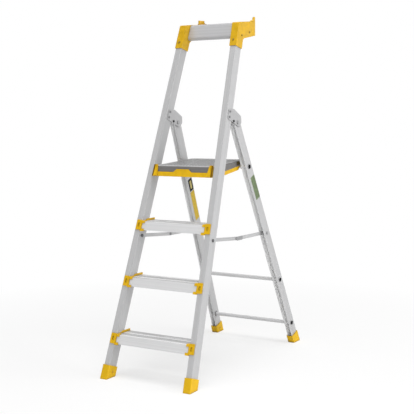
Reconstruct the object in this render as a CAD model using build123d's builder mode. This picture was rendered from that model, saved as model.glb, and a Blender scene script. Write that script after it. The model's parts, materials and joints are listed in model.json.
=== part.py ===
from build123d import *
from math import atan2, cos, degrees, hypot, radians, sin, tan
import os

# Folding platform ladder. Millimetres, +Z up, +X to the right hand of a person facing the treads,
# +Y from the treads back to the rear legs. Right-hand pieces are drawn and the left ones mirrored.

# Front frame: two stiles, open to the rear, leaning back and in
front_tilt = 19.5          # stile plane from upright, degrees
front_lean = 2.49          # each stile towards the middle, degrees
front_half = 222.7         # outer face of the stile from the middle, at the floor
stile_width = 27.0
stile_depth = 52.0
stile_wall = 2.4
stile_length = 1576.0      # along the slope, ends inside the top corner

# Rear frame: two legs, open to the front, hung from the hinge plates
rear_tilt = 25.5
rear_lean = 3.03
leg_depth = 54.0
leg_wall = 2.2
hinge_gap = 1.6            # free space between the leg and each hinge plate, at the pivot
pivot_along = 1206.0       # hinge axis, along the slope from the floor
pivot_depth = 106.0        # hinge axis behind the stile front face

# Rear cross bars
bar_radius = 9.0
bar_wall = 1.5
bar_flange = 2.0           # how far the flared ends and beads stand out
bar_room = 0.75            # flange clear of the leaning face of the leg
upper_bar_rise = 375.2     # up the leg from the floor
lower_bar_rise = 117.2
rest_depth = 29.3          # axis of the rest bar below the top of the deck
plug_thick = 1.6

# Treads
tread_count = 3
first_tread_height = 184.0
tread_rise = 240.0
tread_depth = 95.0
tread_nose = 38.0          # height of the front face
tread_heel = 20.0          # height of the rear flange
tread_wall = 2.6
tread_top_wall = 3.6
nose_return = 14.0         # flange under the nose
groove_pitch = 8.0
groove_width = 2.4
groove_depth = 1.2
channel_width = 6.0        # every third groove is a wide channel
channel_depth = 2.2
cap_wall = 3.0
cap_hook = 13.0            # reach of the cap's hooks along the nose
hook_height = 7.0
hook_depth = 12.0          # behind the nose
cap_crest = 9.0            # rear half of the cap above the tread
wrap_thick = 4.0           # cap in front of the stile
wrap_width = 23.0
wrap_low = 1.0             # lower end of the wrap above the underside of the tread, along the stile
wrap_high = 6.0            # upper end above the top of the tread
wrap_recess = 3.2

# Platform
deck_height = 909.0        # top of the front edge
deck_slope = 4.2           # rise to the rear, degrees
band_height = 26.0         # grey front band of the deck
skirt_height = 20.0        # yellow skirt below the band
side_band = 17.5           # yellow along the sides
side_rise = 5.6            # lower edge of the sides above the skirt, at side_knee
side_knee = 124.0          # behind the nose
rear_drop = 40.0           # rear end of the frame below the deck
side_gap = 1.8             # between the platform and the stile
platform_wall = 3.5
deck_thick = 5.0
nose_radius = 6.0
platform_hinge_depth = 36.0
pin_drop = 36.0            # platform pins below the top of the deck's front edge
rear_overhang = 30.0       # platform behind the rest bar
rib_count = 8              # on each half of the deck
rib_width = 3.0
rib_height = 1.1

# Top rail and corners
rail_rise = 12.5           # lower edge above the end of the stile, along the slope
rail_height = 75.0
rail_thick = 26.0
rail_wall = 2.0
rail_depth = 34.0          # rail front face behind the stile front face
rail_end = 8.4             # corner beyond the end of the rail, where it is narrowest
corner_wall = 3.2
corner_roof = 4.2          # over the rail
corner_slope = 6.5         # top of the corner, rising to the rear, degrees
socket_grip = 46.0         # length of stile inside the corner
socket_skew = 8.0          # lower edge is this much higher at the rear
arm_length = 146.0         # behind the rail
arm_taper = 7.4
arm_root = 4.5             # underside of the arm above the lower edge of the rail, at its front
arm_root_drop = 8.0        # there the socket begins, below the rail
arm_depth_rear = 65.0
arm_round = 25.0           # outer corner of the arm, from above
lip_height = 17.0          # above the arm
lip_thick = 5.0
lip_tip = 31.0
lip_base = 46.0
lip_turn = 30.0            # middle of the lip, from straight outwards, degrees

# Spreaders
spreader_below = 59.4      # front pivot below the third tread, along the stile
spreader_depth = 24.0
spreader_offset = 18.0     # rear pivot further from the hinge axis than the front one
knuckle_part = 0.482       # share of the span taken by the front link
knuckle_drop = 9.0         # knuckle below the straight line
link_thick = 4.0
link_height = 16.0
link_gap = 0.5             # between the two links at the knuckle

# Feet and fasteners
foot_lip = 5.0             # rubber outside the profile
foot_height = 62.0
rear_foot_height = 50.0
rear_foot_tilt = 18.0      # upper edge of the rear boots, falling to the front, degrees
foot_sole = 8.0
pin_fit = 0.05             # radial clearance of a pin in a moving piece
seat = 0.2                 # clearance of a fixed piece in its pocket
tilt_room = 0.45           # head kept off a face that leans away from the pin
small_rivet = 2.5          # radii of the fasteners
bolt_radius = 4.0
bolt_head = 7.0
hinge_pin_radius = 5.0
platform_pin_radius = 5.0
stop_radius = 6.0
stop_pin_radius = 3.0
foot_screw_radius = 2.0
corner_screw_radius = 2.2
plate_thick = 3.0
rivet_head = 2.5           # head of a hinge rivet above the plate, with its room

ft = radians(front_tilt)
fl = radians(front_lean)
rt = radians(rear_tilt)
rl = radians(rear_lean)
far = 3000.0
below_floor = 60.0         # profiles start this far below the floor, then are cut level

# Hinge axis and the line of the legs, first measured from the stile front at the floor
pivot_y0 = pivot_depth * cos(ft) + pivot_along * sin(ft)
pivot_z = pivot_along * cos(ft) - pivot_depth * sin(ft)
leg_length = pivot_z / cos(rt)
leg_floor0 = pivot_y0 + pivot_z * tan(rt)
front_most = -foot_lip / cos(ft)
rear_most = leg_floor0 + (leg_depth / 2 + foot_lip) / cos(rt)
front_y = -(front_most + rear_most) / 2
pivot_y = front_y + pivot_y0
leg_floor = front_y + leg_floor0


def slope(depth, along):
    """World (y, z) of a point behind the stile front face and up the slope."""
    return (front_y + depth * cos(ft) + along * sin(ft), along * cos(ft) - depth * sin(ft))


def front_at(height, depth=0.0):
    """World y of the sloping plane at a height."""
    return front_y + height * tan(ft) + depth / cos(ft)


def along_at(height, depth=0.0):
    """Distance up the slope of a point at a height."""
    return (height + depth * sin(ft)) / cos(ft)


def along_of(point):
    """Distance up the slope of a world (y, z) point."""
    return point[1] * cos(ft) + (point[0] - front_y) * sin(ft)


def outer_x(along):
    return front_half - along * tan(fl)


def inner_x(along):
    return outer_x(along) - stile_width / cos(fl)


def down_leg(drop):
    """World (y, z) on the leg centre line below the hinge axis."""
    return (pivot_y + drop * sin(rt), pivot_z - drop * cos(rt))


leg_width = stile_width - 2 * hinge_gap
leg_outer_top = outer_x(pivot_along) - hinge_gap


def leg_outer_x(drop):
    return leg_outer_top + drop * tan(rl)


def leg_inner_x(drop):
    return leg_outer_x(drop) - leg_width / cos(rl)


rear_half = leg_outer_x(leg_length)

# Working planes: the slope seen from the side, and the foot of the right stile and leg
SLOPE_SIDE = Plane(origin=(0, front_y, 0), x_dir=(0, cos(ft), -sin(ft)), z_dir=(1, 0, 0))
LEG_SIDE = Plane(origin=(0, leg_floor, 0), x_dir=(0, cos(rt), sin(rt)), z_dir=(1, 0, 0))
STILE = Plane(
    origin=(front_half - stile_width / cos(fl) / 2, front_y, 0),
    x_dir=(cos(fl), sin(fl) * sin(ft), sin(fl) * cos(ft)),
    z_dir=(-sin(fl), cos(fl) * sin(ft), cos(fl) * cos(ft)),
)
STILE_MID = STILE.shift_origin(STILE.from_local_coords(Vector(0, stile_depth / 2, 0)))
LEG = Plane(
    origin=(rear_half - leg_width / cos(rl) / 2, leg_floor, 0),
    x_dir=(cos(rl), -sin(rl) * sin(rt), sin(rl) * cos(rt)),
    z_dir=(-sin(rl), -cos(rl) * sin(rt), cos(rl) * cos(rt)),
)

os.makedirs("parts", exist_ok=True)


def save(part, name):
    part.label = name
    export_step(part, f"parts/{name}.step")


def save_pair(part, name):
    save(mirror(part, about=Plane.YZ), name + "_left")
    save(part, name + "_right")


def both_sides(part):
    """One node holding a piece and its mirror image."""
    return Compound(children=list(part.solids()) + list(mirror(part, about=Plane.YZ).solids()))


def rod(x_from, x_to, centre, radius, mode=Mode.ADD):
    """Round bar along X through a world (y, z) point, inside the open builder."""
    with BuildSketch(Plane.YZ.offset(x_from)) as end:
        with Locations(centre):
            Circle(radius)
    extrude(end.sketch, amount=x_to - x_from, mode=mode)


def plate(plane, points, amount, mode=Mode.ADD, corner=0.0):
    """Flat piece from corner points on a plane, inside the open builder."""
    with BuildSketch(plane) as outline:
        with BuildLine():
            Polyline(*points, close=True)
        make_face()
        if corner:
            fillet(outline.vertices(), corner)
    extrude(outline.sketch, amount=amount, mode=mode)


def cut_below(height):
    with BuildSketch(Plane.XY.offset(height)) as level:
        Rectangle(far, far)
    extrude(level.sketch, amount=-far, mode=Mode.SUBTRACT)


def cut_beside(sideways, align):
    """Take away all that lies to one side of a plane parallel to the faces of the right stile."""
    with BuildSketch(STILE.offset(-far / 2)) as side:
        with Locations((sideways, 0)):
            Rectangle(far, far, align=(align, Align.CENTER))
    extrude(side.sketch, amount=2 * far, mode=Mode.SUBTRACT)


def channel_part(plane, width, depth, grow, length, low):
    """Full block that a profile fills, grown all round and cut level above the floor."""
    with BuildPart() as block:
        with BuildSketch(plane.offset(-below_floor)):
            Rectangle(width + 2 * grow, depth + 2 * grow)
        extrude(amount=length + below_floor)
        cut_below(low)
    return block.part


# Treads: where each one lies
def tread_top(number):
    return first_tread_height + number * tread_rise


def tread_hull(height):
    """Outline that holds the whole tread section, as world (y, z) points."""
    nose_y = front_at(height)
    low = height - tread_nose
    return [
        (front_at(low), low),
        (nose_y, height),
        (nose_y + tread_depth, height),
        (nose_y + tread_depth, height - tread_heel),
        (front_at(low) + nose_return, low),
    ]


def tread_half(height):
    """Half length of a tread, set by the narrowest place between the caps."""
    return inner_x(along_at(height) + tread_depth * sin(ft)) - cap_wall - seat


def tread_rivet(height):
    """World (y, z) of the rivet that holds a tread cap to its stile."""
    level = height - tread_nose / 2
    return (front_at(level, stile_depth / 2), level)


tread_tops = [tread_top(number) for number in range(tread_count)]

# Points used by more than one piece
hinge_point = (pivot_y, pivot_z)
spreader_along = along_at(tread_tops[-1]) - spreader_below
spreader_leg_drop = pivot_along - spreader_along + spreader_offset
spread_front = slope(spreader_depth, spreader_along)
spread_rear = down_leg(spreader_leg_drop)
span_y = spread_rear[0] - spread_front[0]
span_z = spread_rear[1] - spread_front[1]
span = hypot(span_y, span_z)
knuckle = (
    spread_front[0] + knuckle_part * span_y + knuckle_drop * span_z / span,
    spread_front[1] + knuckle_part * span_z - knuckle_drop * span_y / span,
)
front_reach = hypot(knuckle[0] - spread_front[0], knuckle[1] - spread_front[1])
rear_reach = hypot(knuckle[0] - spread_rear[0], knuckle[1] - spread_rear[1])
stile_mid_x = (inner_x(spreader_along + front_reach / 2) + outer_x(spreader_along + front_reach / 2)) / 2
leg_mid_drop = spreader_leg_drop - rear_reach / 2
leg_mid_x = (leg_inner_x(leg_mid_drop) + leg_outer_x(leg_mid_drop)) / 2
link_split_x = (stile_mid_x + leg_mid_x) / 2
front_link_x = link_split_x - link_gap / 2 - link_thick
rear_link_x = link_split_x + link_gap / 2

# The open platform: its front edge, the plane of its deck and the bar that it rests on
band_front = -2.0          # front faces before the stile front
skirt_front = -5.0
deck_rise = tan(radians(deck_slope))
nose_y = front_at(deck_height, band_front)
rest_bar_drop = (pivot_z - deck_height - (pivot_y - nose_y) * deck_rise + rest_depth) / (
    cos(rt) + deck_rise * sin(rt)
)
rest_bar = down_leg(rest_bar_drop)
rear_y = rest_bar[0] + rear_overhang
platform_hinge_along = along_at(deck_height - pin_drop, platform_hinge_depth)
platform_pin = slope(platform_hinge_depth, platform_hinge_along)
bar_centres = {
    "platform_rest_bar": rest_bar_drop,
    "rear_bar_upper": leg_length - upper_bar_rise,
    "rear_bar_lower": leg_length - lower_bar_rise,
}

# The stop behind the leg, and the other fasteners of the hinge and the feet
stop_rise = 22.0           # stop above the hinge axis, measured along the open leg
stop_room = 0.3
open_angle = ft + rt
stop_out = leg_depth / 2 + stop_radius + stop_room
stop_depth = pivot_depth - stop_rise * sin(open_angle) - stop_out * cos(open_angle)
stop_along = pivot_along + stop_rise * cos(open_angle) - stop_out * sin(open_angle)
stop_point = slope(stop_depth, stop_along)
rivet_depth = 25.0
rivet_low = 3.0            # rivets of the plates below and above the hinge axis
rivet_high = 22.0
rivet_points = [(rivet_depth, pivot_along - rivet_low), (rivet_depth, pivot_along + rivet_high)]
foot_screw_along = 36.0
rear_screw_along = 26.0
front_foot_screw = slope(stile_depth / 2, foot_screw_along)
rear_foot_drop = leg_length - rear_screw_along
rear_foot_screw = down_leg(rear_foot_drop)
wall_reach = 8.0           # a hole in the inner wall ends this far inside the profile

# Top corner: where the rail lies, and the lines of the corner round it
rail_low = stile_length + rail_rise
rail_high = rail_low + rail_height
rail_half = outer_x(rail_high) - rail_end
corner_front = -(corner_wall + seat)
corner_back = rail_depth + rail_thick + seat + corner_wall
corner_outer = stile_width / 2 + seat + corner_wall
socket_back = stile_depth + seat + corner_wall
socket_low = stile_length - socket_grip
top_rise = tan(radians(corner_slope))
roof_y, roof_z = slope(rail_depth + rail_thick / 2, rail_high + corner_roof)
arm_y0 = slope(corner_back, rail_low)[0]
arm_y = slope(rail_depth + rail_thick, rail_low)[0] + arm_length
arm_x0 = outer_x(rail_low) + seat + corner_wall


def corner_top(y):
    """Height of the top of the corner."""
    return roof_z + (y - roof_y) * top_rise


def arm_x(y):
    """Outer face of the arm, which draws in towards its rear end."""
    return arm_x0 - arm_taper * (y - arm_y0) / (arm_y - arm_y0)


front_screw_along = stile_length - 17.0
rail_screw = slope(rail_depth + 5.0, rail_low + 9.0)
arm_screw_y = arm_y - 0.57 * arm_length
arm_screw = (arm_screw_y, corner_top(arm_screw_y) - 0.75 * arm_depth_rear)
SCREW_FACE = Plane(
    origin=STILE.from_local_coords(Vector(0, 0, front_screw_along / cos(fl))),
    x_dir=STILE.x_dir,
    z_dir=-STILE.y_dir,
)

# Stiles
stile_block = channel_part(STILE_MID, stile_width, stile_depth, 0, stile_length, foot_sole)
with BuildPart() as stile:
    add(stile_block)
    with BuildSketch(STILE_MID.offset(-2 * below_floor)):
        with Locations((0, stile_wall)):
            Rectangle(stile_width - 2 * stile_wall, stile_depth)
    extrude(amount=stile_length + far, mode=Mode.SUBTRACT)
    rod(0, far, spread_front, bolt_radius + seat / 2, Mode.SUBTRACT)
    pin_hole_x = inner_x(platform_hinge_along) + wall_reach
    rod(0, pin_hole_x, platform_pin, platform_pin_radius + seat / 2, Mode.SUBTRACT)
    for depth, along in rivet_points:
        rod(0, far, slope(depth, along), small_rivet + seat / 2, Mode.SUBTRACT)
    for height in tread_tops:
        rivet_hole_x = inner_x(along_at(height)) + wall_reach
        rod(0, rivet_hole_x, tread_rivet(height), small_rivet + seat / 2, Mode.SUBTRACT)
    screw_hole_x = inner_x(foot_screw_along) + wall_reach
    rod(0, screw_hole_x, front_foot_screw, foot_screw_radius + seat / 2, Mode.SUBTRACT)
    with BuildSketch(SCREW_FACE):
        Circle(corner_screw_radius + seat / 2)
    extrude(amount=-2 * stile_wall, mode=Mode.SUBTRACT)
save_pair(stile.part, "front_stile")

# Tread profile: open below, deep nose, grooved on top
first_groove = 8.0         # behind the nose
groove_count = int((tread_depth - 1.5 * first_groove) / groove_pitch)
for number, height in enumerate(tread_tops):
    half = tread_half(height)
    hull = tread_hull(height)
    low = height - tread_nose
    roof = height - tread_top_wall
    edge_y = front_at(height)
    skin = 1.1 * tread_wall
    with BuildPart() as tread:
        plate(Plane.YZ.offset(-half), hull, 2 * half)
        inside = [
            (front_at(low + tread_wall) + skin, low + tread_wall),
            (front_at(roof) + skin, roof),
            (edge_y + tread_depth - tread_wall, roof),
            (edge_y + tread_depth - tread_wall, low - tread_wall),
            (front_at(low) + nose_return, low - tread_wall),
            (front_at(low) + nose_return, low + tread_wall),
        ]
        plate(Plane.YZ.offset(-far / 2), inside, far, Mode.SUBTRACT)
        with BuildSketch(Plane.YZ.offset(-far / 2)):
            for i in range(groove_count):
                wide = i % 3 == 1
                with Locations((edge_y + first_groove + i * groove_pitch, height)):
                    Rectangle(
                        channel_width if wide else groove_width,
                        2 * (channel_depth if wide else groove_depth),
                    )
        extrude(amount=far, mode=Mode.SUBTRACT)
    save(tread.part, f"tread_{number + 1}")

    # End cap: a plate between tread and stile with a crest at its rear, two hooks on the nose, a ledge
    # under the top of the tread, and a wrap over the stile front with a recess
    w_low = (along_at(low) + wrap_low) / cos(fl)
    w_high = (along_at(height) + wrap_high) / cos(fl)
    wrap_x = (wrap_width - stile_width - cap_wall) / 2
    WRAP = Plane(
        origin=STILE.from_local_coords(Vector(wrap_x, -seat, (w_low + w_high) / 2)),
        x_dir=STILE.x_dir,
        z_dir=-STILE.y_dir,
    )
    hook_x = half - cap_hook
    with BuildPart() as cap:
        with BuildSketch(Plane.YZ.offset(hook_x)):
            with BuildLine():
                Polyline(*hull, close=True)
            make_face()
            offset(amount=cap_wall + seat, kind=Kind.INTERSECTION)
        extrude(amount=cap_hook + stile_width)
        with BuildSketch(Plane.YZ.offset(hook_x - seat)):
            with BuildLine():
                Polyline(*hull, close=True)
            make_face()
            offset(amount=seat, kind=Kind.INTERSECTION)
        extrude(amount=cap_hook + 2 * seat, mode=Mode.SUBTRACT)
        behind = [
            (front_at(low - tread_nose) + hook_depth, low - tread_nose),
            (front_at(height + tread_nose) + hook_depth, height + tread_nose),
            (edge_y + 2 * tread_depth, height + tread_nose),
            (edge_y + 2 * tread_depth, low - tread_nose),
        ]
        plate(Plane.YZ.offset(hook_x - seat), behind, cap_hook + seat, Mode.SUBTRACT)
        between = [
            (edge_y - tread_depth, low + hook_height),
            (edge_y + tread_depth, low + hook_height),
            (edge_y + tread_depth, height - hook_height),
            (edge_y - tread_depth, height - hook_height),
        ]
        plate(Plane.YZ.offset(hook_x - seat), between, cap_hook + seat, Mode.SUBTRACT)
        ledge = [
            (edge_y + hook_depth, roof - seat),
            (edge_y + tread_depth - hook_depth, roof - seat),
            (edge_y + tread_depth - hook_depth, roof - seat - cap_wall),
            (edge_y + hook_depth, roof - seat - cap_wall),
        ]
        plate(Plane.YZ.offset(hook_x), ledge, cap_hook + cap_wall)
        crest_rear = edge_y + tread_depth + cap_wall
        crest = [
            (edge_y + 0.25 * tread_depth, height),
            (edge_y + 0.45 * tread_depth, height + cap_crest),
            (crest_rear, height + cap_crest),
            (crest_rear, height),
        ]
        plate(Plane.YZ.offset(half + seat), crest, stile_width)
        cut_beside(-stile_width / 2, Align.MIN)
        with BuildSketch(WRAP):
            RectangleRounded(wrap_width + cap_wall, w_high - w_low, 3.0)
        extrude(amount=wrap_thick)
        with BuildSketch(WRAP.offset(wrap_thick)):
            SlotOverall(0.5 * tread_nose, 0.4 * wrap_width, rotation=90)
        extrude(amount=-wrap_recess, mode=Mode.SUBTRACT)
        rod(0, far, tread_rivet(height), small_rivet + seat / 2, Mode.SUBTRACT)
    save_pair(cap.part, f"tread_cap_{number + 1}")


# Rivets through each cap and the inner wall of the stile
with BuildPart() as tread_rivets:
    for height in tread_tops:
        point = tread_rivet(height)
        seat_x = tread_half(height) + seat
        wall_x = inner_x(along_of(point)) + stile_wall / cos(fl)
        rod(seat_x - 2.0, seat_x, point, 2 * small_rivet)
        rod(seat_x - 1.0, wall_x + 2.0, point, small_rivet)
        rod(wall_x + seat, wall_x + 2.2, point, 1.6 * small_rivet)
save(both_sides(tread_rivets.part), "tread_rivets")


# Top rail: hollow rounded section between the two corners
def rail_section(grow):
    with BuildSketch(SLOPE_SIDE) as section:
        with Locations((rail_depth + rail_thick / 2, rail_low + rail_height / 2)):
            RectangleRounded(rail_thick + 2 * grow, rail_height + 2 * grow, rail_thick * 0.42 + grow)
    return section.sketch


rail_outer = rail_section(0)
rail_inner = rail_section(-rail_wall)
with BuildPart() as rail:
    extrude(rail_outer, amount=rail_half, both=True)
    extrude(rail_inner, amount=rail_half + rail_end, both=True, mode=Mode.SUBTRACT)
save(rail.part, "top_rail")


# Corner: socket for the stile, socket for the rail, and an arm to the rear that ends in a lip
def arm_plan(inset):
    """The corner from above, drawn in by a wall thickness; its leaning sides are cut later."""
    with BuildSketch(Plane.XY) as outline:
        with BuildLine():
            Polyline(
                (0, front_y),
                (front_half, front_y),
                (front_half, arm_y0),
                (arm_x(arm_y0) - inset, arm_y0),
                (arm_x(arm_y - inset) - inset, arm_y - inset),
                (0, arm_y - inset),
                close=True,
            )
        make_face()
        fillet(outline.vertices().sort_by(Axis.Y)[-2:].sort_by(Axis.X)[-1], arm_round - inset)
    return outline.sketch


def corner_side():
    """The corner from the side, with its edges rounded."""
    foot_y, foot_z = slope(corner_front, 0)
    top_along = (roof_z - foot_z + (foot_y - roof_y) * top_rise) / (cos(ft) - top_rise * sin(ft))
    top_front = slope(corner_front, top_along)
    rear_low = (arm_y, corner_top(arm_y) - arm_depth_rear)
    root = slope(corner_back, rail_low + arm_root)
    with BuildSketch(Plane.YZ) as outline:
        with BuildLine():
            Polyline(
                slope(corner_front, socket_low),
                top_front,
                (arm_y, corner_top(arm_y)),
                rear_low,
                root,
                slope(socket_back, rail_low - arm_root_drop),
                slope(socket_back, socket_low + socket_skew),
                close=True,
            )
        make_face()
        for point, radius in ((top_front, 12.0), (rear_low, 16.0), (root, 8.0)):
            fillet(outline.vertices().sort_by_distance(Vector(*point))[0], radius)
    return outline.sketch


outer_arm_plan = arm_plan(0.0)
inner_arm_plan = arm_plan(corner_wall)
corner_profile = corner_side()
socket_block = channel_part(STILE_MID, stile_width, stile_depth, seat, stile_length + 2 * seat, foot_sole)
rail_grown = rail_section(seat)
with BuildPart() as arm_hollow:
    hollow_top = slope(corner_back, rail_high)
    hollow = [
        slope(corner_back, socket_low),
        (hollow_top[0], corner_top(hollow_top[0]) - corner_wall),
        (arm_y, corner_top(arm_y) - corner_wall),
        (arm_y, slope(corner_back, socket_low)[1]),
    ]
    plate(Plane.YZ, hollow, far)
    extrude(inner_arm_plan, amount=far, mode=Mode.INTERSECT)
    cut_beside(corner_outer - corner_wall, Align.MIN)
    cut_beside(corner_wall - corner_outer, Align.MAX)

lip_angle = radians(lip_turn)
lip_y = arm_y - arm_round
lip_x = arm_x(lip_y) - arm_round
lip_outside = arm_round - 0.6
lip_foot = corner_top(arm_y) - corner_wall
lip_knee = corner_top(arm_y) + 0.3 * lip_height
lip_top = corner_top(arm_y) + lip_height
LIP = Plane(
    origin=(lip_x, lip_y, 0),
    x_dir=(-sin(lip_angle), cos(lip_angle), 0),
    z_dir=(cos(lip_angle), sin(lip_angle), 0),
)
with BuildPart() as lip:
    with BuildSketch(Plane.XY.offset(lip_foot)):
        with Locations((lip_x, lip_y)):
            Circle(lip_outside)
            Circle(lip_outside - lip_thick, mode=Mode.SUBTRACT)
    extrude(amount=lip_top - lip_foot)
    lip_face = [
        (-lip_base / 2, lip_foot),
        (-lip_tip / 2, lip_knee),
        (-lip_tip / 2 + 1.0, lip_top),
        (lip_tip / 2 - 1.0, lip_top),
        (lip_tip / 2, lip_knee),
        (lip_base / 2, lip_foot),
    ]
    plate(LIP, lip_face, far, Mode.INTERSECT)

with BuildPart() as corner:
    extrude(corner_profile, amount=far)
    extrude(outer_arm_plan, amount=far, mode=Mode.INTERSECT)
    cut_beside(corner_outer, Align.MIN)
    cut_beside(-corner_outer, Align.MAX)
    add(arm_hollow.part, mode=Mode.SUBTRACT)
    add(lip.part)
    add(socket_block, mode=Mode.SUBTRACT)
    extrude(rail_grown, amount=rail_half + seat, mode=Mode.SUBTRACT)
    for point in (rail_screw, arm_screw):
        rod(rail_half + 1.5, far, point, corner_screw_radius + seat / 2, Mode.SUBTRACT)
    with BuildSketch(SCREW_FACE):
        Circle(corner_screw_radius + seat / 2)
    extrude(amount=2 * corner_wall, mode=Mode.SUBTRACT)
    with BuildSketch(LIP):
        with Locations((0, lip_foot - 5.0)):
            Circle(3.0)
    extrude(amount=far, mode=Mode.SUBTRACT)
save_pair(corner.part, "top_corner")

screw_head = 2.0
with BuildPart() as corner_screws:
    for point in (rail_screw, arm_screw):
        face_x = outer_x(along_of(point)) + (seat + corner_wall) / cos(fl)
        if point[0] > arm_y0:
            face_x = min(face_x, arm_x(point[0]))
        rod(rail_half + 2.0, face_x + 1.0, point, corner_screw_radius)
        rod(face_x + tilt_room, face_x + tilt_room + screw_head, point, 2 * corner_screw_radius)
    with BuildSketch(SCREW_FACE.offset(-2 * stile_wall)):
        Circle(corner_screw_radius)
    extrude(amount=2 * stile_wall + seat + corner_wall + 1.0)
    with BuildSketch(SCREW_FACE.offset(2 * seat + corner_wall)):
        Circle(2 * corner_screw_radius)
    extrude(amount=screw_head)
save(both_sides(corner_screws.part), "corner_screws")


# Feet: rubber boots round the lower ends, flat on the floor, with grooves across the sole
def foot(plane, width, depth, height, pocket):
    with BuildPart() as boot:
        with BuildSketch(plane.offset(-below_floor)):
            RectangleRounded(width + 2 * foot_lip, depth + 2 * foot_lip, 4.0)
        extrude(amount=below_floor + height)
        cut_below(0)
        add(pocket, mode=Mode.SUBTRACT)
        middle = plane.origin.Y
        for share in (-0.38, -0.15, 0.15, 0.38):
            with BuildSketch(Plane.YZ):
                with Locations((middle + share * depth, 0)):
                    Rectangle(4.0, 0.6 * foot_sole)
            extrude(amount=far, mode=Mode.SUBTRACT)
    return boot.part


pocket_above = 20.0
front_pocket = channel_part(STILE_MID, stile_width, stile_depth, seat, foot_height + pocket_above, foot_sole - seat)
rear_pocket = channel_part(LEG, leg_width, leg_depth, seat, rear_foot_height + 2 * pocket_above, foot_sole - seat)
front_boot = foot(STILE_MID, stile_width, stile_depth, foot_height, front_pocket)
rear_boot = foot(LEG, leg_width, leg_depth, rear_foot_height + pocket_above, rear_pocket)
with BuildPart() as front_foot:
    add(front_boot)
    rod(0, inner_x(foot_screw_along) + 1, front_foot_screw, foot_screw_radius + seat / 2, Mode.SUBTRACT)
save_pair(front_foot.part, "front_foot")
turn = radians(rear_foot_tilt)
REAR_RIM = Plane(origin=(0, *down_leg(leg_length - rear_foot_height)), x_dir=(1, 0, 0), z_dir=(0, -sin(turn), cos(turn)))
with BuildPart() as rear_foot:
    add(rear_boot)
    with BuildSketch(REAR_RIM):
        Rectangle(far, far)
    extrude(amount=far, mode=Mode.SUBTRACT)
    rod(0, leg_inner_x(leg_length) + 3, rear_foot_screw, foot_screw_radius + seat / 2, Mode.SUBTRACT)
save_pair(rear_foot.part, "rear_foot")


# Foot screws, driven from the inner side through the boot and the profile wall
def foot_screw(centre, wall_x, face_x, wall):
    with BuildPart() as screw:
        rod(face_x - 2.4, face_x - 0.3, centre, 2.2 * foot_screw_radius)
        rod(face_x - 1.0, wall_x + wall + 4.0, centre, foot_screw_radius)
    return screw.part


front_wall_x = inner_x(foot_screw_along)
rear_wall_x = leg_inner_x(rear_foot_drop)
front_screw = foot_screw(front_foot_screw, front_wall_x, front_wall_x - foot_lip / cos(fl), stile_wall)
rear_screw = foot_screw(rear_foot_screw, rear_wall_x, rear_wall_x - foot_lip / cos(rl), leg_wall)
save(both_sides(front_screw), "front_foot_screws")
save(both_sides(rear_screw), "rear_foot_screws")

# Hinge plates, one on each face of the stile, reaching back over the leg
OUTER_FACE = Plane(
    origin=STILE.from_local_coords(Vector(stile_width / 2, 0, 0)), x_dir=STILE.y_dir, z_dir=STILE.x_dir
)
INNER_FACE = Plane(
    origin=STILE.from_local_coords(Vector(-stile_width / 2, 0, 0)), x_dir=STILE.y_dir, z_dir=STILE.x_dir
)
plate_front = 13.0
plate_low = 16.0           # corners of the plate, from the hinge axis
plate_shoulder = 28.0
plate_peak = 45.0
plate_peak_depth = 50.0
plate_rear = 34.0
plate_rear_high = 12.0
plate_crown = 23.0
plate_crown_high = 37.0
plate_outline = [
    (plate_front, (pivot_along - plate_low) / cos(fl)),
    (plate_front, (pivot_along + plate_shoulder) / cos(fl)),
    (pivot_depth - plate_peak_depth, (pivot_along + plate_peak) / cos(fl)),
    (pivot_depth + plate_crown, (pivot_along + plate_crown_high) / cos(fl)),
    (pivot_depth + plate_rear, (pivot_along + plate_rear_high) / cos(fl)),
    (pivot_depth + plate_crown, (pivot_along - plate_low) / cos(fl)),
]
for face, amount, name in ((OUTER_FACE, plate_thick, "outer"), (INNER_FACE, -plate_thick, "inner")):
    with BuildPart() as hinge_plate:
        plate(face, plate_outline, amount, corner=9.0)
        rod(0, far, hinge_point, hinge_pin_radius + seat / 2, Mode.SUBTRACT)
        rod(0, far, stop_point, stop_pin_radius + seat / 2, Mode.SUBTRACT)
        for depth, along in rivet_points:
            rod(0, far, slope(depth, along), small_rivet + seat / 2, Mode.SUBTRACT)
    save_pair(hinge_plate.part, f"hinge_plate_{name}")


def cross_pin(centre, along, radius, head_radius, head, room):
    """Pin through both hinge plates with a head on each side, inside the open builder."""
    low = inner_x(along) - plate_thick / cos(fl) - room
    high = outer_x(along) + plate_thick / cos(fl) + room
    rod(low - head, low, centre, head_radius)
    rod(low - head / 2, high + head / 2, centre, radius)
    rod(high, high + head, centre, head_radius)


head_room = 0.3
with BuildPart() as hinge_rivets:
    for depth, along in rivet_points:
        head = rivet_head - head_room
        cross_pin(slope(depth, along), along, small_rivet, 2 * small_rivet, head, head_room)
save(both_sides(hinge_rivets.part), "hinge_rivets")
with BuildPart() as hinge_pins:
    cross_pin(hinge_point, pivot_along, hinge_pin_radius, 1.6 * hinge_pin_radius, 3.0, tilt_room)
save(both_sides(hinge_pins.part), "hinge_pins")
with BuildPart() as hinge_stops:
    cross_pin(stop_point, stop_along, stop_pin_radius, 1.8 * stop_pin_radius, 2.4, head_room)
    rod(inner_x(stop_along) + tilt_room, outer_x(stop_along) - tilt_room, stop_point, stop_radius)
save(both_sides(hinge_stops.part), "hinge_stops")

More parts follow.
